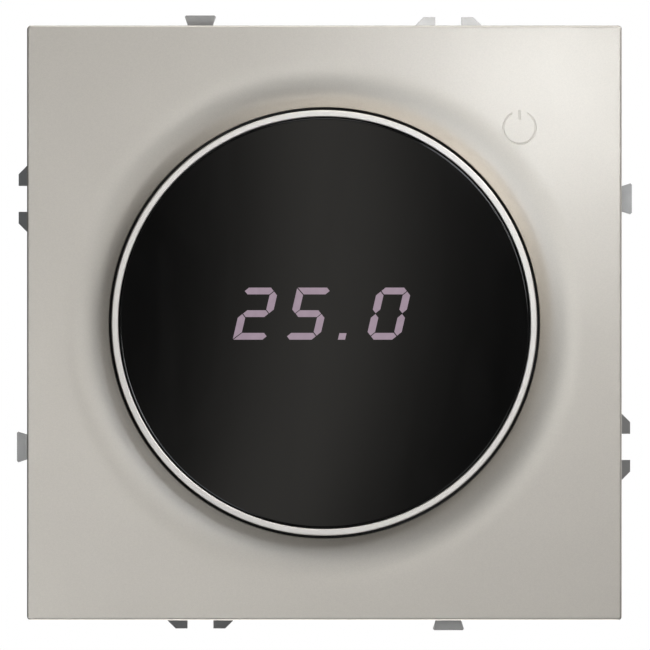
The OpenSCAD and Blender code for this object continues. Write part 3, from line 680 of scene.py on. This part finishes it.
# CAD pieces whose edges are rounded, and the width that is taken off, in millimetres
SOFT_EDGES = {
    "carrier_frame": 0.08, "support_frame": 0.08, "insert_housing": 0.2, "insert_cover": 0.12,
    "terminal_screw_1": 0.05, "terminal_screw_2": 0.05, "terminal_screw_3": 0.05,
    "terminal_screw_4": 0.05, "terminal_screw_5": 0.05,
}
for node, width in SOFT_EDGES.items():
    softened(node, width, BODY_OF[node], SLOT_OF[node], MATERIALS[SLOT_OF[node]])

for node, obj in frame["nodes"].items():
    obj.data.materials.clear()
    obj.data.materials.append(MATERIALS[SLOT_OF[node]])


# ---------- stage, light and camera ----------

FLOOR_Z = -0.1
FLOOR_R = 1.9
FLOOR_GLOW = 0.95
WORLD_LIGHT = 0.06

# The camera looks straight at the plate's face; its shift, right and up, is in millimetres
CAMERA_DISTANCE = 1.2
CAMERA_SHIFT = (0.065, -0.236)
VIEW_WIDTH = 0.06994
SENSOR = 36

# The card that the glass mirrors: sizes in millimetres, lean and bend of its pale band
CARD_AT = 500
CARD_COLOUR = (1, 0.96, 0.89, 1)
CARD_HALF = 70
CARD_SPREAD = 10
CARD_LEAN = 0.15
CARD_BEND = -0.004
CARD_GLOW = 0.7

# The lights named in KEYS are bluish, the others white; all of them point at AIM, in metres
KEY_COLOUR = (0.88, 0.93, 1)
KEYS = ("near_key", "high_key", "lower_left", "left_front")
AIM = Vector((0, -0.01, 0))

# Place (x, y, distance from the wall) and width in millimetres, and the level at AIM in W/m2
LIGHTS = {
    "near_key": ((26, 28, 60), 20, 0.1),
    "high_key": ((26, 28, 120), 20, 0.2),
    "top": ((0, 200, 150), 120, 0.7),
    "front_left": ((-85, -30, 500), 50, 0.15),
    "front_right": ((85, 30, 500), 50, 0.1),
    "upper_right": ((320, 280, 320), 300, 1.7),
    "lower_left": ((-270, -235, 400), 400, 0.4),
    "left_front": ((-190, -160, 450), 250, 0.3),
    "right_front": ((190, -160, 450), 150, 0.1),
    "behind_left": ((-340, 260, -300), 300, 0.6),
    "behind_right": ((360, -20, -340), 300, 0.6),
    "behind_middle": ((0, 120, -560), 300, 1.1),
    "behind_low": ((0, -300, -260), 200, 1.2),
    "above": ((0, 460, -70), 300, 0.6),
    "below": ((0, -460, -90), 300, 0.9),
}


def make_floor():
    """A pale floor that only the camera sees: it glows from above and is clear from below."""
    bm = bmesh.new()
    bmesh.ops.create_circle(bm, cap_ends=True, radius=FLOOR_R, segments=96)
    floor = as_object("floor", bm)
    floor.location.z = FLOOR_Z
    material, tree, shader = node_tree("floor_paper")
    paper = noise(tree, 60)
    tree.links.new(tinted(tree, (0.2, 0.2, 0.198), paper, 0.01), shader.inputs["Base Color"])
    tree.links.new(tinted(tree, (0.82, 0.82, 0.81), paper, 0.01), shader.inputs["Emission Color"])
    shader.inputs["Emission Strength"].default_value = FLOOR_GLOW
    shader.inputs["Roughness"].default_value = 0.8
    below = add(tree, "ShaderNodeNewGeometry").outputs["Backfacing"]
    clear = add(tree, "ShaderNodeBsdfTransparent")
    mix = add(tree, "ShaderNodeMixShader", {0: below, 1: shader.outputs[0], 2: clear.outputs[0]})
    output = next(n for n in tree.nodes if n.type == "OUTPUT_MATERIAL")
    tree.links.new(mix.outputs[0], output.inputs["Surface"])
    floor.data.materials.append(material)
    floor.visible_diffuse = False
    floor.visible_glossy = False
    floor.visible_shadow = False


def make_card():
    """A strip light with soft edges that only gloss sees: the pale band down the glass."""
    half = CARD_HALF * MM
    corners = ((-half, -half, 0), (half, -half, 0), (half, half, 0), (-half, half, 0))
    bm = bmesh.new()
    bm.faces.new([bm.verts.new(corner) for corner in corners])
    card = as_object("strip_card", bm)
    card.location = (0, -(CARD_AT + glass_high.z) * MM, 0)
    card.rotation_euler = (math.pi / 2, 0, 0)
    material = bpy.data.materials.new("strip_card")
    material.use_nodes = True
    tree = material.node_tree
    tree.nodes.clear()
    axes = add(tree, "ShaderNodeSeparateXYZ", {0: object_point(tree)})
    x = maths(tree, "DIVIDE", axes.outputs["X"], MM)
    y = maths(tree, "DIVIDE", axes.outputs["Y"], MM)
    slope = maths(tree, "ADD", maths(tree, "MULTIPLY", y, CARD_BEND), CARD_LEAN)
    off = maths(tree, "SUBTRACT", x, maths(tree, "MULTIPLY", y, slope))
    share = maths(tree, "DIVIDE", maths(tree, "MULTIPLY", off, off), -2 * CARD_SPREAD ** 2)
    glow = maths(tree, "MULTIPLY", maths(tree, "EXPONENT", share), CARD_GLOW)
    emission = add(tree, "ShaderNodeEmission", {"Color": CARD_COLOUR, "Strength": glow})
    add(tree, "ShaderNodeOutputMaterial", {"Surface": emission.outputs[0]})
    card.data.materials.append(material)
    card.visible_camera = False
    card.visible_diffuse = False
    card.visible_shadow = False


def make_world():
    """White behind the object for the camera, soft grey studio light for everything else."""
    world = bpy.data.worlds.new("studio")
    world.use_nodes = True
    bpy.context.scene.world = world
    tree = world.node_tree
    background = next(n for n in tree.nodes if n.type == "BACKGROUND")
    rays = add(tree, "ShaderNodeLightPath")
    strength = add(tree, "ShaderNodeMapRange", {
        "Value": rays.outputs["Is Camera Ray"], "To Min": WORLD_LIGHT, "To Max": 1.0})
    tree.links.new(strength.outputs[0], background.inputs["Strength"])
    background.inputs["Color"].default_value = (1, 1, 1, 1)


def area_light(name, at, level, size):
    """A round soft light, its power such that the level reaches a surface that faces it at AIM."""
    data = bpy.data.lights.new(name, "AREA")
    data.shape = "DISK"
    data.size = size
    data.energy = level * math.pi * (AIM - Vector(at)).length_squared
    light = bpy.data.objects.new(name, data)
    light.location = at
    light.rotation_euler = (AIM - light.location).to_track_quat("-Z", "Y").to_euler()
    light.visible_camera = False
    bpy.context.scene.collection.objects.link(light)
    return light


def make_camera():
    data = bpy.data.cameras.new("camera")
    data.sensor_width = SENSOR
    data.lens = SENSOR * CAMERA_DISTANCE / VIEW_WIDTH
    camera = bpy.data.objects.new("camera", data)
    right, up = CAMERA_SHIFT
    camera.location = (right * MM, -PLATE_FRONT * MM - CAMERA_DISTANCE, up * MM)
    camera.rotation_euler = (math.pi / 2, 0, 0)
    bpy.context.scene.collection.objects.link(camera)
    bpy.context.scene.camera = camera


make_floor()
make_card()
make_world()
make_camera()
for name, ((x, y, out), size, level) in LIGHTS.items():
    light = area_light(name, (x * MM, -out * MM, y * MM), level, size * MM)
    if name in KEYS:
        light.data.color = KEY_COLOUR
bpy.context.scene.view_settings.view_transform = "Standard"
